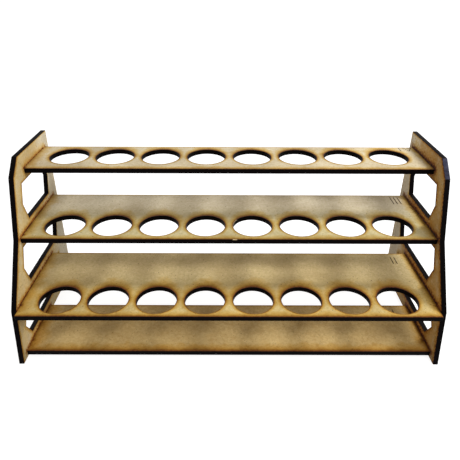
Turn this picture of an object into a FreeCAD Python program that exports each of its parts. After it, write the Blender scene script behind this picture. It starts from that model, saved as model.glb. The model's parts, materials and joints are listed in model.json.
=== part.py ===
import FreeCAD, Part
import os

# Three-tier bottle rack, laser cut from one thickness of fibreboard.
# Two stepped end panels carry four shelves on through tabs: three shelves
# with a row of bottle holes, and a plain base shelf. Millimetres, +X right, +Z up.
# Depths are laid out from the front foot (Y = 0, Y towards the back), and each
# finished piece is then moved so that the rack is centred over its footprint.

# Board and overall width
outer_width = 272.5         # across the outer faces of the two end panels
board = 3.2                 # thickness of the board that every piece is cut from
slot_clearance = 0.1        # a slot is this much longer and wider than its tab

# Heights
tier_rise = 38.05           # height of one step of the end panels' front edge
head_rise = 10.15           # end panel above its third step
shelf_drop = 0.45           # top face of a holed shelf below its step
base_gap = 1.27             # floor to the underside of the base shelf

# Bottle holes
bottle_diameter = 25.0      # the dropper bottle that the rack is made for
bottle_clearance = 1.0      # hole diameter less bottle diameter
hole_web = 5.35             # board left between two neighbouring holes
least_end_land = 6.0        # least board between an end hole and an end panel

# Depths of the shelves
lower_setback = 2.9         # front foot to the lower shelf's front edge
upper_setback = 0.2         # rear of the lower holes to the upper shelf's front edge
top_overhang = 5.4          # top shelf's front edge over the rear of the upper holes
lower_front_land = 2.8      # board in front of the lower shelf's holes
upper_front_land = 4.1      # board in front of the upper shelf's holes
top_front_land = 7.8        # board in front of the top shelf's holes
top_back_land = 5.5         # board behind the top shelf's holes
upper_back_land = 3.5       # upper shelf beyond the holes above it
lower_back_land = 9.9       # lower shelf beyond the holes above it
base_front_inset = 0.9      # base shelf's front edge behind the front of the holes above
base_back_land = 20.4       # base shelf beyond the holes above it

# Tabs, one at each end of each shelf
tab_length = 32.5           # along the shelf's end
base_tab_setback = 10.1     # base shelf's front edge to its tab
lower_tab_setback = 10.4    # lower shelf's front edge to its tab
upper_tab_setback = 4.9     # upper shelf's front edge to its tab
top_tab_setback = 1.9       # top shelf's front edge to its tab

# Front and back edges of the end panels
first_step_setback = 3.4    # first step behind the lower shelf's front edge
second_step_lead = 3.0      # second step in front of the upper shelf's front edge
third_step_lead = 15.8      # third step in front of the top shelf's front edge
head_lead = 6.0             # top front corner in front of the top shelf's front edge
back_margin = 5.1           # end panel behind the top shelf's back edge

# Windows, a long hexagon in each end panel between one shelf and the next
window_sill = 5.4           # shelf's top face to the window above it
window_head = 4.35          # shelf's underside to the window below it
low_window_front_rail = 10.1    # front edge to the point of the hexagon
low_window_nose = 6.2           # depth of the front point
low_window_tail = 6.2           # depth of the rear point
low_window_back_rail = 11.8     # rear point to the back edge
mid_window_front_rail = 11.6
mid_window_nose = 5.0
mid_window_tail = 5.1
mid_window_back_rail = 10.5
high_window_front_rail = 11.1
high_window_nose = 4.3
high_window_tail = 4.0
high_window_back_rail = 11.0

# Widths and the row of holes
inner_width = outer_width - 2 * board
hole_diameter = bottle_diameter + bottle_clearance
hole_radius = hole_diameter / 2
hole_pitch = hole_diameter + hole_web
hole_count = int((inner_width - 2 * least_end_land + hole_web) // hole_pitch)

# Heights of the steps and of the shelves' top faces
first_step = tier_rise
second_step = first_step + tier_rise
third_step = second_step + tier_rise
outer_height = third_step + head_rise
base_top = base_gap + board
lower_top = first_step - shelf_drop
upper_top = second_step - shelf_drop
top_top = third_step - shelf_drop

# Depths, from the front foot
lower_front = lower_setback
lower_row = lower_front + lower_front_land + hole_radius
upper_front = lower_row + hole_radius + upper_setback
upper_row = upper_front + upper_front_land + hole_radius
top_front = upper_row + hole_radius - top_overhang
top_row = top_front + top_front_land + hole_radius
base_front = lower_row - hole_radius + base_front_inset
base_back = lower_row + hole_radius + base_back_land
lower_back = upper_row + hole_radius + lower_back_land
upper_back = top_row + hole_radius + upper_back_land
top_back = top_row + hole_radius + top_back_land
outer_depth = top_back + back_margin

# Front edge of an end panel, as (depth, height) from the foot to the top
front_edge = (
    (0.0, 0.0),
    (lower_front + first_step_setback, first_step),
    (upper_front - second_step_lead, second_step),
    (top_front - third_step_lead, third_step),
    (top_front - head_lead, outer_height),
)

# Each shelf as (top face, front edge, back edge, tab's front end, row of holes)
shelves = {
    "base_shelf": (base_top, base_front, base_back, base_front + base_tab_setback, None),
    "lower_shelf": (lower_top, lower_front, lower_back, lower_front + lower_tab_setback, lower_row),
    "upper_shelf": (upper_top, upper_front, upper_back, upper_front + upper_tab_setback, upper_row),
    "top_shelf": (top_top, top_front, top_back, top_front + top_tab_setback, top_row),
}

# Each window as (shelf top below, shelf top above, front rail, nose, tail, back rail)
windows = (
    (base_top, lower_top, low_window_front_rail, low_window_nose, low_window_tail, low_window_back_rail),
    (lower_top, upper_top, mid_window_front_rail, mid_window_nose, mid_window_tail, mid_window_back_rail),
    (upper_top, top_top, high_window_front_rail, high_window_nose, high_window_tail, high_window_back_rail),
)


def closed_wire(points):
    """A closed wire of straight edges through the points."""
    return Part.makePolygon(list(points) + [points[0]])


def board_piece(outline, cutouts, direction):
    """A piece of board: the outline less its cutouts, one board thick along direction."""
    face = Part.makeFace([outline] + cutouts, "Part::FaceMakerBullseye")
    return face.extrude(direction * board)


def shelf_outline(front, back, tab_front, bottom):
    """Outline of a shelf seen from above, with a tab at each end that reaches the outer face."""
    tab_back = tab_front + tab_length
    right_side = (
        (inner_width / 2, front),
        (inner_width / 2, tab_front),
        (outer_width / 2, tab_front),
        (outer_width / 2, tab_back),
        (inner_width / 2, tab_back),
        (inner_width / 2, back),
    )
    left_side = [(-x, y) for x, y in reversed(right_side)]
    return closed_wire([FreeCAD.Vector(x, y, bottom) for x, y in list(right_side) + left_side])


def hole_wires(row, bottom):
    """The row of bottle holes, spread evenly about the middle of the shelf."""
    wires = []
    for index in range(hole_count):
        x = (index - (hole_count - 1) / 2) * hole_pitch
        circle = Part.makeCircle(hole_radius, FreeCAD.Vector(x, row, bottom))
        wires.append(Part.Wire([circle]))
    return wires


def make_shelf(top, front, back, tab_front, row):
    """One shelf, with its holes if it has a row of them."""
    bottom = top - board
    outline = shelf_outline(front, back, tab_front, bottom)
    holes = hole_wires(row, bottom) if row is not None else []
    return board_piece(outline, holes, FreeCAD.Vector(0, 0, 1))


def panel_front_at(height):
    """Depth of an end panel's front edge at a height."""
    for (y_low, z_low), (y_high, z_high) in zip(front_edge, front_edge[1:]):
        if height <= z_high:
            return y_low + (y_high - y_low) * (height - z_low) / (z_high - z_low)
    return front_edge[-1][0]


def window_wire(shelf_below, shelf_above, front_rail, nose, tail, back_rail, x):
    """A long hexagon with level sides and a point at mid-height, front and rear."""
    sill = shelf_below + window_sill
    head = shelf_above - board - window_head
    middle = (sill + head) / 2
    nose_tip = panel_front_at(middle) + front_rail
    tail_tip = outer_depth - back_rail
    corners = (
        (nose_tip, middle),
        (nose_tip + nose, sill),
        (tail_tip - tail, sill),
        (tail_tip, middle),
        (tail_tip - tail, head),
        (nose_tip + nose, head),
    )
    return closed_wire([FreeCAD.Vector(x, y, z) for y, z in corners])


def slot_wire(top, tab_front, x):
    """The slot for one shelf's tab."""
    ease = slot_clearance / 2
    front = tab_front - ease
    back = tab_front + tab_length + ease
    low = top - board - ease
    high = top + ease
    corners = ((front, low), (back, low), (back, high), (front, high))
    return closed_wire([FreeCAD.Vector(x, y, z) for y, z in corners])


def make_end_panel(x):
    """One end panel, its lower-X face at x: the stepped outline, three windows and four slots."""
    corners = list(front_edge) + [(outer_depth, outer_height), (outer_depth, 0.0)]
    outline = closed_wire([FreeCAD.Vector(x, y, z) for y, z in corners])
    cutouts = [window_wire(*window, x) for window in windows]
    for top, _front, _back, tab_front, _row in shelves.values():
        cutouts.append(slot_wire(top, tab_front, x))
    return board_piece(outline, cutouts, FreeCAD.Vector(1, 0, 0))


def save(name, shape):
    """Centres the piece over the rack's footprint and writes it."""
    shape.translate(FreeCAD.Vector(0, -outer_depth / 2, 0))
    if not shape.isValid() or len(shape.Solids) != 1:
        raise ValueError(name + " is not one valid solid")
    shape.exportStep("parts/" + name + ".step")


os.makedirs("parts", exist_ok=True)
save("left_end_panel", make_end_panel(-outer_width / 2))
save("right_end_panel", make_end_panel(inner_width / 2))
for shelf_name, shelf_sizes in shelves.items():
    save(shelf_name, make_shelf(*shelf_sizes))
print("hole diameter", hole_diameter, "pitch", hole_pitch, "count", hole_count)
print("outer size", outer_width, outer_depth, outer_height)
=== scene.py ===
import bmesh
import bpy
import json
import math
from mathutils import Matrix, Vector

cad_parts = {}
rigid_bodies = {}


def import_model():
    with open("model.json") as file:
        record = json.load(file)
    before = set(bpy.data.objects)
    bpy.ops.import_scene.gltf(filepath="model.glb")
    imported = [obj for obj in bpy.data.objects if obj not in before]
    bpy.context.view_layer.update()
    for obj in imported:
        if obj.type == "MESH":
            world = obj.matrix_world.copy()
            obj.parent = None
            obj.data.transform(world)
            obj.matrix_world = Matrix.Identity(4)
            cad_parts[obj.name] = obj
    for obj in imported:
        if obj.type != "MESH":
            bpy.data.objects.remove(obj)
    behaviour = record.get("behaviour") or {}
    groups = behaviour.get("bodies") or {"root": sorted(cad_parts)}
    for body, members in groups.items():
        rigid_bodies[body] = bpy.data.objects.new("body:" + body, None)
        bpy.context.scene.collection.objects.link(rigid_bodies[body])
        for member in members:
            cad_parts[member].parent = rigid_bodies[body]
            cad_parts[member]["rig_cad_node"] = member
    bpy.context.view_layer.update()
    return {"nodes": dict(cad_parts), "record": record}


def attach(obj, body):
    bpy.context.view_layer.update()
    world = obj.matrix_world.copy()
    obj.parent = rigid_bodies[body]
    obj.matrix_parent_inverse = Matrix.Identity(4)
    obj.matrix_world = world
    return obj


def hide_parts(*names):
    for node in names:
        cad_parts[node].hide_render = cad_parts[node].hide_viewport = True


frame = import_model()
print("frame loaded:", sorted(frame["nodes"]))

mm = 0.001  # shapes are in metres, written as so many mm; materials work in millimetres


# small tools

def clearSelection():
    if bpy.context.object and bpy.context.object.mode != "OBJECT":
        bpy.ops.object.mode_set(mode="OBJECT")
    bpy.ops.object.select_all(action="DESELECT")


def makeActive(piece):
    clearSelection()
    piece.select_set(True)
    bpy.context.view_layer.objects.active = piece


def linearColour(code):  # "#rrggbb" in sRGB to a linear colour
    values = [int(code[i:i + 2], 16) / 255 for i in (1, 3, 5)]
    return [v / 12.92 if v <= 0.04045 else ((v + 0.055) / 1.055) ** 2.4 for v in values] + [1.0]


def addNode(tree, kind, settings):
    # a node is linked by its first output in use, a socket is linked as it is, and any other value goes on
    # the socket of that name or number, or else on the node itself
    node = tree.nodes.new("ShaderNode" + kind)
    for name, value in settings.items():
        if isinstance(value, bpy.types.Node):
            value = next(output for output in value.outputs if output.enabled)
        if isinstance(value, bpy.types.NodeSocket):
            tree.links.new(value, node.inputs[name])
        elif name == "stops":  # (place, colour) along a ramp
            for place, code in value[2:]:
                node.color_ramp.elements.new(place)
            for element, (place, code) in zip(node.color_ramp.elements, value):
                element.position = place
                element.color = linearColour(code)
        elif isinstance(name, int) or name in node.inputs:
            node.inputs[name].default_value = value
        else:
            setattr(node, name, value)
    return node


# the boards

boardWork = {
    "edgeBevel": 0.12 * mm,     # the laser leaves the rim slightly eased
    "bevelSegments": 1,
    "rimAngle": math.radians(40),
    "smoothAngle": math.radians(30),
    "flatAngle": math.radians(0.5),  # faces that turn less than this are one face
    "weld": 0.001 * mm,         # corners nearer than this are one corner
    "level": 0.01 * mm,         # how near a corner is to a level that it lies on
    "straightEdge": 3.0 * mm,   # rim edges at least this long are straight cuts, shorter ones are holes
}
numerals = {  # tier numbers; inset is from the shelf's right end to the first stroke, gap from its back edge
    "top_shelf": {"text": "IV", "inset": 13.95 * mm, "gap": 0.6 * mm, "height": 6.4 * mm, "wide": 0.32 * mm},
    "upper_shelf": {"text": "III", "inset": 15.25 * mm, "gap": 3.3 * mm, "height": 10.4 * mm,
                    "wide": 0.45 * mm},
    "lower_shelf": {"text": "II", "inset": 15.95 * mm, "gap": 4.9 * mm, "height": 8.0 * mm,
                    "wide": 0.45 * mm},
    "base_shelf": {"text": "I", "inset": 15.15 * mm, "gap": 4.4 * mm, "height": 7.0 * mm, "wide": 0.45 * mm},
}
engraving = {
    "pitch": 2.7 * mm,          # from an upright stroke to the next letter
    "slant": 3.1 * mm,          # sideways run of one arm of the V
    "depth": 0.25 * mm,
}
edgeChip = {
    "node": "upper_shelf",
    "middle": 3.7 * mm,         # right of the shelf's middle
    "width": 2.8 * mm,
    "depth": 0.24 * mm,         # along the diagonal of the edge
    "block": 4.0 * mm,          # the block that cuts it
}


def weldCorners(piece):  # corners at one place become one
    makeActive(piece)
    bpy.ops.object.mode_set(mode="EDIT")
    bpy.ops.mesh.select_all(action="SELECT")
    bpy.ops.mesh.remove_doubles(threshold=boardWork["weld"])
    bpy.ops.object.mode_set(mode="OBJECT")


def modelBoard(node):  # the board's own cut outline, merged to clean faces
    piece = frame["nodes"][node].copy()
    piece.data = piece.data.copy()
    del piece["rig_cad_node"]
    piece.name = node + "_board"
    bpy.context.scene.collection.objects.link(piece)
    weldCorners(piece)
    bpy.ops.object.mode_set(mode="EDIT")
    bpy.ops.mesh.select_all(action="SELECT")
    bpy.ops.mesh.dissolve_limited(angle_limit=boardWork["flatAngle"])
    bpy.ops.object.mode_set(mode="OBJECT")
    return piece


def numeralStrokes(text):  # (sideways start, sideways end) of each stroke, back end first
    strokes = []
    x = 0.0
    for letter in text:
        if letter == "I":
            strokes.append((x, x))
            x += engraving["pitch"]
        else:
            tip = x + engraving["slant"]
            x = tip + engraving["slant"]
            strokes += [(tip - engraving["slant"], tip), (x, tip)]
    return strokes


def carve(piece, middle, turn, size):  # takes a block out of a board
    clearSelection()
    bpy.ops.mesh.primitive_cube_add(size=1, location=middle, rotation=turn, scale=size)
    cutter = bpy.context.object
    cut = piece.modifiers.new("carved block", "BOOLEAN")
    cut.operation = "DIFFERENCE"
    cut.solver = "EXACT"
    cut.object = cutter
    makeActive(piece)
    bpy.ops.object.modifier_apply(modifier=cut.name)
    bpy.data.objects.remove(cutter)


def engraveNumeral(piece, setting):
    high = Vector(piece.bound_box[6])
    origin = high - Vector((setting["inset"], setting["gap"] + setting["height"] / 2, 0))
    for start, end in numeralStrokes(setting["text"]):
        run = Vector((end - start, -setting["height"], 0))
        middle = origin + Vector(((start + end) / 2, 0, 0))
        size = (setting["wide"], run.length, 2 * engraving["depth"])
        carve(piece, middle, (0, 0, math.atan2(run.x, -run.y)), size)


def chipEdge(piece):  # a flat little facet off the front top edge
    outward = Vector((0, -1, 1)).normalized()
    corner = Vector((edgeChip["middle"], piece.bound_box[0][1], piece.bound_box[6][2]))
    middle = corner + outward * (edgeChip["block"] / 2 - edgeChip["depth"])
    carve(piece, middle, (math.radians(45), 0, 0), (edgeChip["width"], edgeChip["block"], edgeChip["block"]))


def easeRims(piece):
    makeActive(piece)
    bevel = piece.modifiers.new("eased rim", "BEVEL")
    bevel.width = boardWork["edgeBevel"]
    bevel.segments = boardWork["bevelSegments"]
    bevel.limit_method = "ANGLE"
    bevel.angle_limit = boardWork["rimAngle"]
    bpy.ops.object.modifier_apply(modifier=bevel.name)
    weldCorners(piece)


def straightCuts(piece, across):  # ends of each straight cut along the board's upper face
    sheet = bmesh.new()
    sheet.from_mesh(piece.data)
    upper = max(v.co[across] for v in sheet.verts)
    found = []
    for edge in sheet.edges:
        onTop = all(abs(v.co[across] - upper) < boardWork["level"] for v in edge.verts)
        sharp = edge.calc_face_angle(0.0) > boardWork["rimAngle"]
        if onTop and sharp and edge.calc_length() > boardWork["straightEdge"]:
            found.append([v.co.copy() for v in edge.verts])
    sheet.free()
    return found


def thicknessAxis(node):
    return 0 if "panel" in node else 2


boards = {}
cuts = {}
for nodeName in sorted(frame["nodes"]):
    board = modelBoard(nodeName)
    cuts[nodeName] = straightCuts(board, thicknessAxis(nodeName))
    if nodeName in numerals:
        engraveNumeral(board, numerals[nodeName])
    easeRims(board)
    if nodeName == edgeChip["node"]:
        chipEdge(board)
    makeActive(board)
    bpy.ops.object.shade_smooth_by_angle(angle=boardWork["smoothAngle"])
    boards[nodeName] = board
print("boards modelled:", {name: len(piece.data.polygons) for name, piece in boards.items()})
print("straight cuts:", {name: len(found) for name, found in cuts.items()})


# materials

sheetTones = {
    # pale and deep are the sanded face; narrow and ragged (in mm) shape its burns; rightJoint replaces the
    # one in rimBurn; front warms a shelf's front; the end panel tint browns a panel, less towards its back
    # edge;
    # the joint tones are the scorch and painted contact shade along its joints, its reach in mm and its two
    # browns
    "top_shelf": {"pale": "#d5c7a9", "deep": "#c3b28d", "narrow": 1.15, "ragged": 0.5},
    "upper_shelf": {"pale": "#d2c5ab", "deep": "#bfb191", "narrow": 1.05, "ragged": 0.5,
                    "front": "#fffde0", "rightJoint": (1.4, 1.0)},
    "lower_shelf": {"pale": "#e0ca99", "deep": "#cbb47c", "narrow": 1.0, "ragged": 0.6,
                    "front": "#fffdea", "rightJoint": (1.9, 0.9)},
    "base_shelf": {"pale": "#d9be84", "deep": "#c3a265", "narrow": 0.75, "ragged": 0.7},
    "left_end_panel": {"pale": "#ece1c8", "deep": "#dacdae", "narrow": 1.6, "ragged": 1.2,
                       "smoke": "#f6e6bd", "scorchAndShade": (1.3, "#86562a", "#cf9f5a")},
    "right_end_panel": {"pale": "#e8dac0", "deep": "#d2c3a6", "narrow": 1.05, "ragged": 6.0,
                        "smoke": "#d9b97e", "scorchAndShade": (1.6, "#4e311d", "#ad8052")},
}
boardFinish = {  # sanded fibreboard, a dull flecked tan, browned by the laser along its cuts; lengths in mm
    "roughness": 0.75,
    "specular": 0.25,
    "relief": 0.15,
    "fleck": 0.5,               # single fibres, drawn coarser than the real 0.1 mm so that they show
    "bundle": 1.8,              # clumps of fibre
    "fleckShare": 0.6,
    "fibre": {"From Min": 0.58, "From Max": 1.02},  # the fibre's values at the two tones
    "mottle": 28.0,             # uneven soot
    "soot": [(0.35, "#e4e0da"), (0.6, "#ffffff")],
    "speck": 1 / 1.1,           # grains of grit
    "grit": [(0.69, "#ffffff"), (0.76, "#8e7450")],
    "waver": 6.0,               # how the burn's edge wanders
    "wander": (0.75, 1.3),      # how much wider and narrower that makes it
    "nick": 1.4,                # ragged spots along the burn
    "calm": 0.3,                # how ragged an end panel's outer face is, against its inner face
    "warmTo": (0.4, 2.2),       # where the warm front fades, in hole radii behind the holes' middle
    "sparedStrip": (24, 13),    # where the panel tint fades, ahead of an end panel's back edge
    "patch": 7.0,               # patches in that tint
    "drift": (-0.45, 0.3),      # how far they shift its fading
    "burnSpan": 11.0,           # from the burnt rim to clean board
    "burn": [(0.0, "#3c2218"), (0.45, "#74462c"), (1.4, "#a87832"), (2.5, "#c1a256"), (3.6, "#e2c682"),
             (4.7, "#ebd398"), (5.8, "#f1dfb2"), (7.5, "#f6eac9"), (9.0, "#fbf4e2"), (11.0, "#ffffff")],
}
scorchAndShadeFinish = {  # the scorch that the slots left beside the shelves, with painted contact shade along the whole joint
    "crumble": 2.8,             # mm, how far ragged spots break it up
    "stops": (0.4, 1.0, 2.4),   # dark, brown and clean board, in shares of its reach
    "span": 4.0,                # mm
    "outside": 20.0,            # mm, keeps it off the outer face, which has no shelf against it
    "faint": {"top_shelf": 0.9},  # mm, how much less of it the left panel has there
}
cutFinish = {  # the cut edge, charred to soot, a matt black that glints slightly blue
    "roughness": 0.5,
    "specular": 0.03,
    "relief": 0.3,
    "sheen": "#d4d8ff",
    "stria": 0.4 * mm,          # ripple left by the beam, drawn coarser than the real 0.1 mm so that it shows
    "drawnOut": 0.12,           # stretched across the thickness
}
bareFinish = {  # fibreboard below its sanded face, rough and woolly
    "roughness": 0.85,
    "specular": 0.2,
    "fibre": {"From Min": 0.35, "From Max": 0.65},
}
noiseMiddle = {"From Min": 0.3, "From Max": 0.7}  # between these lie nearly all values of a noise
reliefDepth = 0.05 * mm
rimBurn = {  # how narrow the burn beside a straight cut is, and where along the burn's colours it starts
    "front": (1.8, 0.0), "back": (6.0, 0.0), "rail": (2.4, 0.0),
    # the joints' burns are scorch with painted contact shade where shelf and panel meet
    "leftJoint": (1.1, 2.5), "rightJoint": (2.5, 1.0), "leftSlot": (1.2, 0.7), "rightSlot": (1.2, 0.3),
}
holeBurn = {"even": 2.8, "lean": 1.8}  # the burn is wider behind a hole than in front of it
backStrip = 18 * mm  # an end panel's cuts this near its back edge are hardly burnt
panelEdge = 0.5 * mm  # cuts this near its top or bottom are its top or bottom edge
jointSlack = 0.3 * mm  # how far from a joint its eased edges reach

scorchAndShadeLines = {"left_end_panel": [], "right_end_panel": []}  # (ends, start) of the scorch and painted contact shade beside each shelf
joints = {}
shelfLevels = []
shelves = [name for name in boards if "shelf" in name]
for nodeName in shelves:  # the burn follows the whole joint with an end panel, tab and shoulders alike; along the joint it is partly painted contact shade
    low, high = (Vector(boards[nodeName].bound_box[i]) for i in (0, 6))
    sideCuts = [ends for ends in cuts[nodeName] if abs(ends[0].x - ends[1].x) < boardWork["level"]]
    joints[nodeName] = min(abs(ends[0].x) for ends in sideCuts)
    shelfLevels.append((low.z - jointSlack, high.z + jointSlack))
    for panelNode, x in (("left_end_panel", -joints[nodeName]), ("right_end_panel", joints[nodeName])):
        line = [Vector((x, low.y, high.z)), Vector((x, high.y, high.z))]
        cuts[nodeName].append(line)
        scorchAndShadeLines[panelNode].append((line, scorchAndShadeFinish["faint"].get(nodeName, 0.0) if x < 0 else 0.0))


def newMaterial(name):
    material = bpy.data.materials.new(name)
    material.use_nodes = True
    material.node_tree.nodes.clear()
    return material


def millimetres(tree):  # where on the object, in millimetres
    place = addNode(tree, "TexCoord", {}).outputs["Object"]
    return addNode(tree, "VectorMath", {"operation": "SCALE", 0: place, "Scale": 1 / mm})


def flatEnds(ends, node):  # a cut's ends in the board's own plane, in mm
    return [Vector((end.y, end.z, 0) if "panel" in node else (end.x, end.y, 0)) / mm for end in ends]


def rimDistance(tree, flat, ends, burn, nearest):  # nearest, or the weighed distance to one cut if smaller
    run = ends[1] - ends[0]
    away = addNode(tree, "VectorMath", {"operation": "SUBTRACT", 0: flat, 1: ends[0]})
    along = addNode(tree, "VectorMath", {"operation": "DOT_PRODUCT", 0: away, 1: run / run.length_squared})
    held = addNode(tree, "Clamp", {"Value": along})
    foot = addNode(tree, "VectorMath", {"operation": "SCALE", 0: run, "Scale": held})
    gap = addNode(tree, "VectorMath", {"operation": "DISTANCE", 0: away, 1: foot})
    weighed = addNode(tree, "Math", {"operation": "MULTIPLY_ADD", 0: gap, 1: burn[0], 2: burn[1]})
    if nearest is None:
        return weighed
    return addNode(tree, "Math", {"operation": "MINIMUM", 0: weighed, 1: nearest})


def holeDistance(tree, parts, holes, nearest):  # a row of equal holes, folded onto one hole
    pitch = holes[1]["pos_m"][0] / mm - holes[0]["pos_m"][0] / mm
    last = len(holes) - 1
    turns = addNode(tree, "Math", {"operation": "DIVIDE", 0: parts["X"], 1: pitch})
    shifted = addNode(tree, "Math", {"operation": "ADD", 0: turns, 1: last / 2})
    index = addNode(tree, "Math", {"operation": "ROUND", 0: shifted})
    held = addNode(tree, "Clamp", {"Value": index, "Min": 0.0, "Max": last})
    offset = addNode(tree, "Math", {"operation": "SUBTRACT", 0: shifted, 1: held})
    sideways = addNode(tree, "Math", {"operation": "MULTIPLY", 0: offset, 1: pitch})
    behind = addNode(tree, "Math", {"operation": "SUBTRACT", 0: parts["Y"], 1: holes[0]["pos_m"][1] / mm})
    spoke = addNode(tree, "CombineXYZ", {"X": sideways, "Y": behind})
    reach = addNode(tree, "VectorMath", {"operation": "LENGTH", 0: spoke})
    gap = addNode(tree, "Math", {"operation": "SUBTRACT", 0: reach, 1: holes[0]["dims"]["r_mm"]})
    lean = addNode(tree, "Math", {"operation": "DIVIDE", 0: behind, 1: reach})
    weight = addNode(tree, "Math", {"operation": "MULTIPLY_ADD", 0: lean, 1: -holeBurn["lean"],
                                    2: holeBurn["even"]})
    weighed = addNode(tree, "Math", {"operation": "MULTIPLY", 0: gap, 1: weight})
    return addNode(tree, "Math", {"operation": "MINIMUM", 0: weighed, 1: nearest})


def besideShelf(height):
    return any(shelfLow < height < shelfHigh for shelfLow, shelfHigh in shelfLevels)


def cutBurn(node, ends, low, high):  # by where the cut lies
    middle = (ends[0] + ends[1]) / 2
    run = ends[1] - ends[0]
    side = "left" if middle.x < 0 else "right"
    if "shelf" in node:
        if abs(run.y) > abs(run.x):
            return sheetTones[node].get(side + "Joint", rimBurn[side + "Joint"])
        return rimBurn["front"] if middle.y < (low.y + high.y) / 2 else rimBurn["back"]
    if besideShelf(middle.z):
        return rimBurn[side + "Slot"]
    if middle.y > high.y - backStrip or not low.z + panelEdge <= middle.z <= high.z - panelEdge:
        return rimBurn["back"]
    return rimBurn["rail"]


def burnLayer(tree, spot, distance, nick, calm, tone):  # brown halo along every cut
    waver = addNode(tree, "TexNoise", {"Vector": spot, "Scale": 1 / boardFinish["waver"], "Detail": 3.0})
    wide, slim = (share * tone["narrow"] for share in boardFinish["wander"])
    narrow = addNode(tree, "MapRange", {"Value": waver, **noiseMiddle, "To Min": wide, "To Max": slim})
    ragged = addNode(tree, "MapRange", {"Value": nick, "To Min": -tone["ragged"], "To Max": tone["ragged"]})
    shift = addNode(tree, "Math", {"operation": "MULTIPLY", 0: ragged, 1: calm})
    reach = addNode(tree, "Math", {"operation": "MULTIPLY_ADD", 0: distance, 1: narrow, 2: shift})
    share = addNode(tree, "Math", {"operation": "DIVIDE", 0: reach, 1: boardFinish["burnSpan"]})
    stops = [(place / boardFinish["burnSpan"], code) for place, code in boardFinish["burn"]]
    return addNode(tree, "ValToRGB", {"Fac": share, "stops": stops})


def warmLayer(tree, parts, holes, tone):  # from a shelf's front edge to a little behind its holes
    row, radius = holes[0]["pos_m"][1] / mm, holes[0]["dims"]["r_mm"]
    start, end = (row + share * radius for share in boardFinish["warmTo"])
    behind = addNode(tree, "MapRange", {"Value": parts["Y"], "From Min": start, "From Max": end})
    return addNode(tree, "ValToRGB", {"Fac": behind, "stops": [(0.0, tone["front"]), (1.0, "#ffffff")]})


def smokeLayer(tree, spot, parts, back, tone):  # browns an end panel, fading out before its rear strip
    start, end = (back / mm - ahead for ahead in boardFinish["sparedStrip"])
    spared = addNode(tree, "MapRange", {"Value": parts["Y"], "From Min": start, "From Max": end})
    patch = addNode(tree, "TexNoise", {"Vector": spot, "Scale": 1 / boardFinish["patch"], "Detail": 4.0,
                                       "Roughness": 0.6})
    least, most = boardFinish["drift"]
    drift = addNode(tree, "MapRange", {"Value": patch, **noiseMiddle, "To Min": least, "To Max": most})
    cleared = addNode(tree, "Math", {"operation": "SUBTRACT", 0: spared, 1: drift})
    return addNode(tree, "ValToRGB", {"Fac": cleared, "stops": [(0.0, tone["smoke"]), (1.0, "#ffffff")]})


def scorchAndShadeLayer(tree, flat, parts, node, nick, inner, outer):  # scorch and painted contact shade beside each shelf, on the inner face
    distance = None
    for ends, start in scorchAndShadeLines[node]:
        distance = rimDistance(tree, flat, flatEnds(ends, node), (1.0, start), distance)
    outside = addNode(tree, "MapRange", {"Value": parts["X"], "From Min": inner, "From Max": outer,
                                         "To Max": scorchAndShadeFinish["outside"]})
    clear = addNode(tree, "Math", {"operation": "ADD", 0: distance, 1: outside})
    crumble = addNode(tree, "MapRange", {"Value": nick, "To Min": -scorchAndShadeFinish["crumble"],
                                         "To Max": scorchAndShadeFinish["crumble"]})
    crust = addNode(tree, "Math", {"operation": "ADD", 0: crumble, 1: clear})
    share = addNode(tree, "Math", {"operation": "DIVIDE", 0: crust, 1: scorchAndShadeFinish["span"]})
    reach, dark, brown = sheetTones[node]["scorchAndShade"]
    places = [stop * reach / scorchAndShadeFinish["span"] for stop in scorchAndShadeFinish["stops"]]
    return addNode(tree, "ValToRGB", {"Fac": share, "stops": list(zip(places, (dark, brown, "#ffffff")))})


def sandedFace(tree, spot, tone):  # its colour, and the fibre for its relief
    fleck = addNode(tree, "TexNoise", {"Vector": spot, "Scale": 1 / boardFinish["fleck"], "Detail": 2.0,
                                       "Roughness": 0.6})
    bundle = addNode(tree, "TexNoise", {"Vector": spot, "Scale": 1 / boardFinish["bundle"], "Detail": 3.0,
                                        "Distortion": 0.6})
    fibre = addNode(tree, "Math", {"operation": "MULTIPLY_ADD", 0: fleck, 1: boardFinish["fleckShare"],
                                   2: bundle})
    tones = addNode(tree, "MapRange", {"Value": fibre, **boardFinish["fibre"]})
    colour = addNode(tree, "Mix", {"data_type": "RGBA", 0: tones, 6: linearColour(tone["deep"]),
                                   7: linearColour(tone["pale"])})
    return colour, fibre


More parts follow.
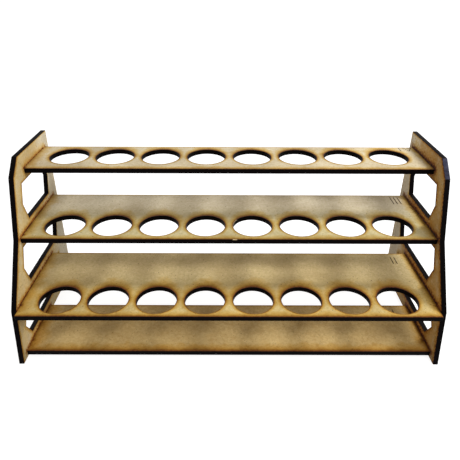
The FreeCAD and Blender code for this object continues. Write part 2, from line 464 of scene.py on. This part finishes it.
def fibreboardMaterial(node, piece):
    material = newMaterial("fibreboardSanded_" + node)
    tree = material.node_tree
    tone = sheetTones[node]
    spot = millimetres(tree)
    parts = addNode(tree, "SeparateXYZ", {0: spot}).outputs
    planeAxes = "YZ" if "panel" in node else "XY"
    flat = addNode(tree, "CombineXYZ", {"X": parts[planeAxes[0]], "Y": parts[planeAxes[1]]})
    low, high = (Vector(piece.bound_box[i]) for i in (0, 6))
    distance = None
    for ends in cuts[node]:
        distance = rimDistance(tree, flat, flatEnds(ends, node), cutBurn(node, ends, low, high), distance)
    rowName = node.split("_")[0] + "_bottle"
    holes = [mount for mount in frame["record"]["mounts"] if mount["name"].startswith(rowName)]
    if holes:
        distance = holeDistance(tree, parts, holes, distance)

    nick = addNode(tree, "TexNoise", {"Vector": spot, "Scale": 1 / boardFinish["nick"], "Detail": 2.0})
    calm = 1.0
    if "panel" in node:
        inner, outer = sorted((low.x / mm, high.x / mm), key=abs)
        calm = addNode(tree, "MapRange", {"Value": parts["X"], "From Min": inner, "From Max": outer,
                                          "To Min": 1.0, "To Max": boardFinish["calm"]})
    mottle = addNode(tree, "TexNoise", {"Vector": spot, "Scale": 1 / boardFinish["mottle"], "Detail": 3.0})
    speck = addNode(tree, "TexNoise", {"Vector": spot, "Scale": 1 / boardFinish["speck"], "Detail": 1.0})
    layers = [addNode(tree, "ValToRGB", {"Fac": mottle, "stops": boardFinish["soot"]}),
              addNode(tree, "ValToRGB", {"Fac": speck, "stops": boardFinish["grit"]}),
              burnLayer(tree, spot, distance, nick, calm, tone)]
    if "front" in tone:
        layers.append(warmLayer(tree, parts, holes, tone))
    if "panel" in node:
        layers.append(smokeLayer(tree, spot, parts, high.y, tone))
        layers.append(scorchAndShadeLayer(tree, flat, parts, node, nick, inner, outer))
    colour, fibre = sandedFace(tree, spot, tone)
    for layer in layers:  # each darkens what is below it
        colour = addNode(tree, "Mix", {"data_type": "RGBA", "blend_type": "MULTIPLY", 0: 1.0, 6: colour,
                                       7: layer})
    relief = addNode(tree, "Bump", {"Strength": boardFinish["relief"], "Distance": reliefDepth,
                                    "Height": fibre})
    surface = addNode(tree, "BsdfPrincipled", {"Base Color": colour, "Roughness": boardFinish["roughness"],
                                               "Specular IOR Level": boardFinish["specular"],
                                               "Normal": relief})
    addNode(tree, "OutputMaterial", {"Surface": surface})
    return material


def charMaterial(name, across, darkest, palest):  # the beam's ripple runs through the board's thickness
    material = newMaterial(name)
    tree = material.node_tree
    stretch = Vector((1, 1, 1)) / cutFinish["stria"]
    stretch[across] *= cutFinish["drawnOut"]
    place = addNode(tree, "TexCoord", {}).outputs["Object"]
    drawn = addNode(tree, "VectorMath", {"operation": "MULTIPLY", 0: place, 1: stretch})
    ripple = addNode(tree, "TexNoise", {"Vector": drawn, "Scale": 1.0, "Detail": 2.0})
    tones = addNode(tree, "MapRange", {"Value": ripple, **noiseMiddle})
    colour = addNode(tree, "Mix", {"data_type": "RGBA", 0: tones, 6: linearColour(darkest),
                                   7: linearColour(palest)})
    relief = addNode(tree, "Bump", {"Strength": cutFinish["relief"], "Distance": reliefDepth,
                                    "Height": ripple})
    surface = addNode(tree, "BsdfPrincipled", {"Base Color": colour, "Roughness": cutFinish["roughness"],
                                               "Specular IOR Level": cutFinish["specular"], "Normal": relief,
                                               "Specular Tint": linearColour(cutFinish["sheen"])})
    addNode(tree, "OutputMaterial", {"Surface": surface})
    return material


def bareFibreMaterial(name, deep, pale):
    material = newMaterial(name)
    tree = material.node_tree
    fibre = addNode(tree, "TexNoise", {"Vector": millimetres(tree), "Scale": 1 / boardFinish["fleck"],
                                       "Detail": 2.0})
    tones = addNode(tree, "MapRange", {"Value": fibre, **bareFinish["fibre"]})
    colour = addNode(tree, "Mix", {"data_type": "RGBA", 0: tones, 6: linearColour(deep),
                                   7: linearColour(pale)})
    surface = addNode(tree, "BsdfPrincipled", {"Base Color": colour, "Roughness": bareFinish["roughness"],
                                               "Specular IOR Level": bareFinish["specular"]})
    addNode(tree, "OutputMaterial", {"Surface": surface})
    return material


charredCuts = {  # by the axis through the board's thickness
    0: charMaterial("fibreboardCharredPanel", 0, "#050404", "#0e0805"),
    2: charMaterial("fibreboardCharredShelf", 2, "#050404", "#0e0805"),
}
paintedSheenCut = charMaterial("fibreboardPaintedSheen", 0, "#23232c", "#4c4c5e")  # char painted slate-blue: a painted sheen on the right panel's upward front edges, standing in for a lamp's glint
engravedGroove = bareFibreMaterial("fibreboardEngraved", "#53391e", "#7a5933")
chippedFibre = bareFibreMaterial("fibreboardChipped", "#c9ab78", "#e6d0a4")
faceSort = {
    "flat": 0.99,               # least part of its normal along the thickness, for a face of the sheet
    "slanting": 0.6,            # the same for an eased edge
    "engraved": 0.02 * mm,      # a flat this far below a face is the bottom of an engraved stroke
}


def faceKind(face, node, low, high):  # low and high are the levels of the board's two faces
    across = thicknessAxis(node)
    depth = min(high - face.center[across], face.center[across] - low)
    if abs(face.normal[across]) >= faceSort["flat"]:
        return "groove" if depth > faceSort["engraved"] else "board"
    slanting = faceSort["slanting"]
    upward = face.normal.z > slanting
    # the right panel's upward slanting front edges take the painted sheen
    if node == "right_end_panel" and upward and face.normal.y < -slanting:
        return "paintedSheen"
    aside = abs(face.center.x - edgeChip["middle"])
    if node == edgeChip["node"] and upward and aside < edgeChip["width"] / 2:
        return "chip"
    if "panel" in node:
        atJoint = besideShelf(face.center.z)
    else:
        atJoint = abs(abs(face.center.x) - joints[node]) < jointSlack
    return "board" if atJoint and abs(face.normal[across]) > slanting else "char"


def dressBoard(piece, node):
    across = thicknessAxis(node)
    low, high = (piece.bound_box[i][across] for i in (0, 6))
    dressing = {"board": fibreboardMaterial(node, piece), "char": charredCuts[across],
                "groove": engravedGroove, "paintedSheen": paintedSheenCut, "chip": chippedFibre}
    piece.data.materials.clear()
    for material in dressing.values():
        piece.data.materials.append(material)
    kinds = list(dressing)
    for face in piece.data.polygons:
        face.material_index = kinds.index(faceKind(face, node, low, high))
    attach(piece, "root")
    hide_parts(node)


for nodeName, board in boards.items():
    dressBoard(board, nodeName)
print("boards finished")


# stage, light and camera

stage = {
    "floor": 6.0,               # metres across
    "paper": "#b0b0b0",         # what the object's light bounces off
    "paperGlow": 0.85,          # lifts the paper to white where no shadow falls
    "room": 0.58,               # light from all round
    "roomLean": (0.02, 0.36, 0.12),  # brighter behind
}
lightAim = (0, 0, 0.06)
lights = {  # metres and watts
    "rightKey": {"place": (0.305, -0.005, 0.478), "size": (0.077, 0.162), "power": 1.27},
    "frontFill": {"place": (0.253, -0.342, 0.518), "size": (0.124, 0.124), "power": 0.67},
}
cameraFit = {
    "focalPixels": 452.9,
    "frame": 460,               # pixels across the frame
    "sensor": 36.0,             # millimetres, as the lens
    "clipStart": 0.01,
    "place": (-2.4 * mm, -262.2 * mm, 233.1 * mm),
    "pitch": 0.4758,            # below the horizon, radians
    "heading": -0.0028,
    "roll": 0.0042,
    "centre": (226.77, 195.0),  # where the lens axis meets the frame, pixels from the top left
}


def mirrorRays(tree, rays):  # reflections and glass meet plain white
    return addNode(tree, "Math", {"operation": "MAXIMUM", 0: rays["Is Glossy Ray"],
                                  1: rays["Is Transmission Ray"]})


def makeFloor():
    clearSelection()
    bpy.ops.mesh.primitive_plane_add(size=stage["floor"], location=(0, 0, 0))
    floor = bpy.context.object
    floor.name = "floor"
    material = newMaterial("paperFloor")
    tree = material.node_tree
    rays = addNode(tree, "LightPath", {}).outputs
    paper = addNode(tree, "BsdfDiffuse", {"Color": linearColour(stage["paper"])})
    glow = addNode(tree, "Emission", {"Color": linearColour("#ffffff"), "Strength": stage["paperGlow"]})
    lifted = addNode(tree, "AddShader", {0: paper, 1: glow})
    seen = addNode(tree, "MixShader", {0: rays["Is Camera Ray"], 1: paper, 2: lifted})
    white = addNode(tree, "Emission", {"Color": linearColour("#ffffff"), "Strength": 1.0})
    mixed = addNode(tree, "MixShader", {0: mirrorRays(tree, rays), 1: seen, 2: white})
    addNode(tree, "OutputMaterial", {"Surface": mixed})
    floor.data.materials.append(material)


def makeWorld():  # white to the camera, an uneven room to the object
    world = bpy.data.worlds.new("studio")
    bpy.context.scene.world = world
    world.use_nodes = True
    tree = world.node_tree
    tree.nodes.clear()
    rays = addNode(tree, "LightPath", {}).outputs
    outward = addNode(tree, "TexCoord", {}).outputs["Generated"]
    lean = addNode(tree, "VectorMath", {"operation": "DOT_PRODUCT", 0: outward, 1: stage["roomLean"]})
    level = addNode(tree, "Math", {"operation": "ADD", 0: lean, 1: stage["room"]})
    room = addNode(tree, "Background", {"Color": linearColour("#ffffff"), "Strength": level})
    white = addNode(tree, "Background", {"Color": linearColour("#ffffff"), "Strength": 1.0})
    seen = addNode(tree, "Math", {"operation": "MAXIMUM", 0: rays["Is Camera Ray"],
                                  1: mirrorRays(tree, rays)})
    mixed = addNode(tree, "MixShader", {0: seen, 1: room, 2: white})
    addNode(tree, "OutputWorld", {"Surface": mixed})


def makeLights():
    for name, setting in lights.items():
        lamp = bpy.data.lights.new(name, "AREA")
        lamp.shape = "RECTANGLE"
        lamp.size, lamp.size_y = setting["size"]
        lamp.energy = setting["power"]
        holder = bpy.data.objects.new(name, lamp)
        bpy.context.scene.collection.objects.link(holder)
        holder.location = setting["place"]
        shine = Vector(lightAim) - holder.location
        holder.rotation_euler = shine.to_track_quat("-Z", "Y").to_euler()


def makeCamera():
    camera = bpy.data.cameras.new("view")
    camera.sensor_width = cameraFit["sensor"]
    camera.lens = cameraFit["focalPixels"] / cameraFit["frame"] * camera.sensor_width
    camera.shift_x = 0.5 - cameraFit["centre"][0] / cameraFit["frame"]
    camera.shift_y = cameraFit["centre"][1] / cameraFit["frame"] - 0.5
    camera.clip_start = cameraFit["clipStart"]
    holder = bpy.data.objects.new("view", camera)
    bpy.context.scene.collection.objects.link(holder)
    holder.location = cameraFit["place"]
    heading = Matrix.Rotation(cameraFit["heading"], 3, "Z")
    tilt = Matrix.Rotation(math.pi / 2 - cameraFit["pitch"], 3, "X")
    roll = Matrix.Rotation(cameraFit["roll"], 3, "Z")
    holder.rotation_euler = (heading @ tilt @ roll).to_euler()
    bpy.context.scene.camera = holder


makeFloor()
makeWorld()
makeLights()
makeCamera()
bpy.context.scene.view_settings.view_transform = "Standard"
print("stage, lights and camera placed")
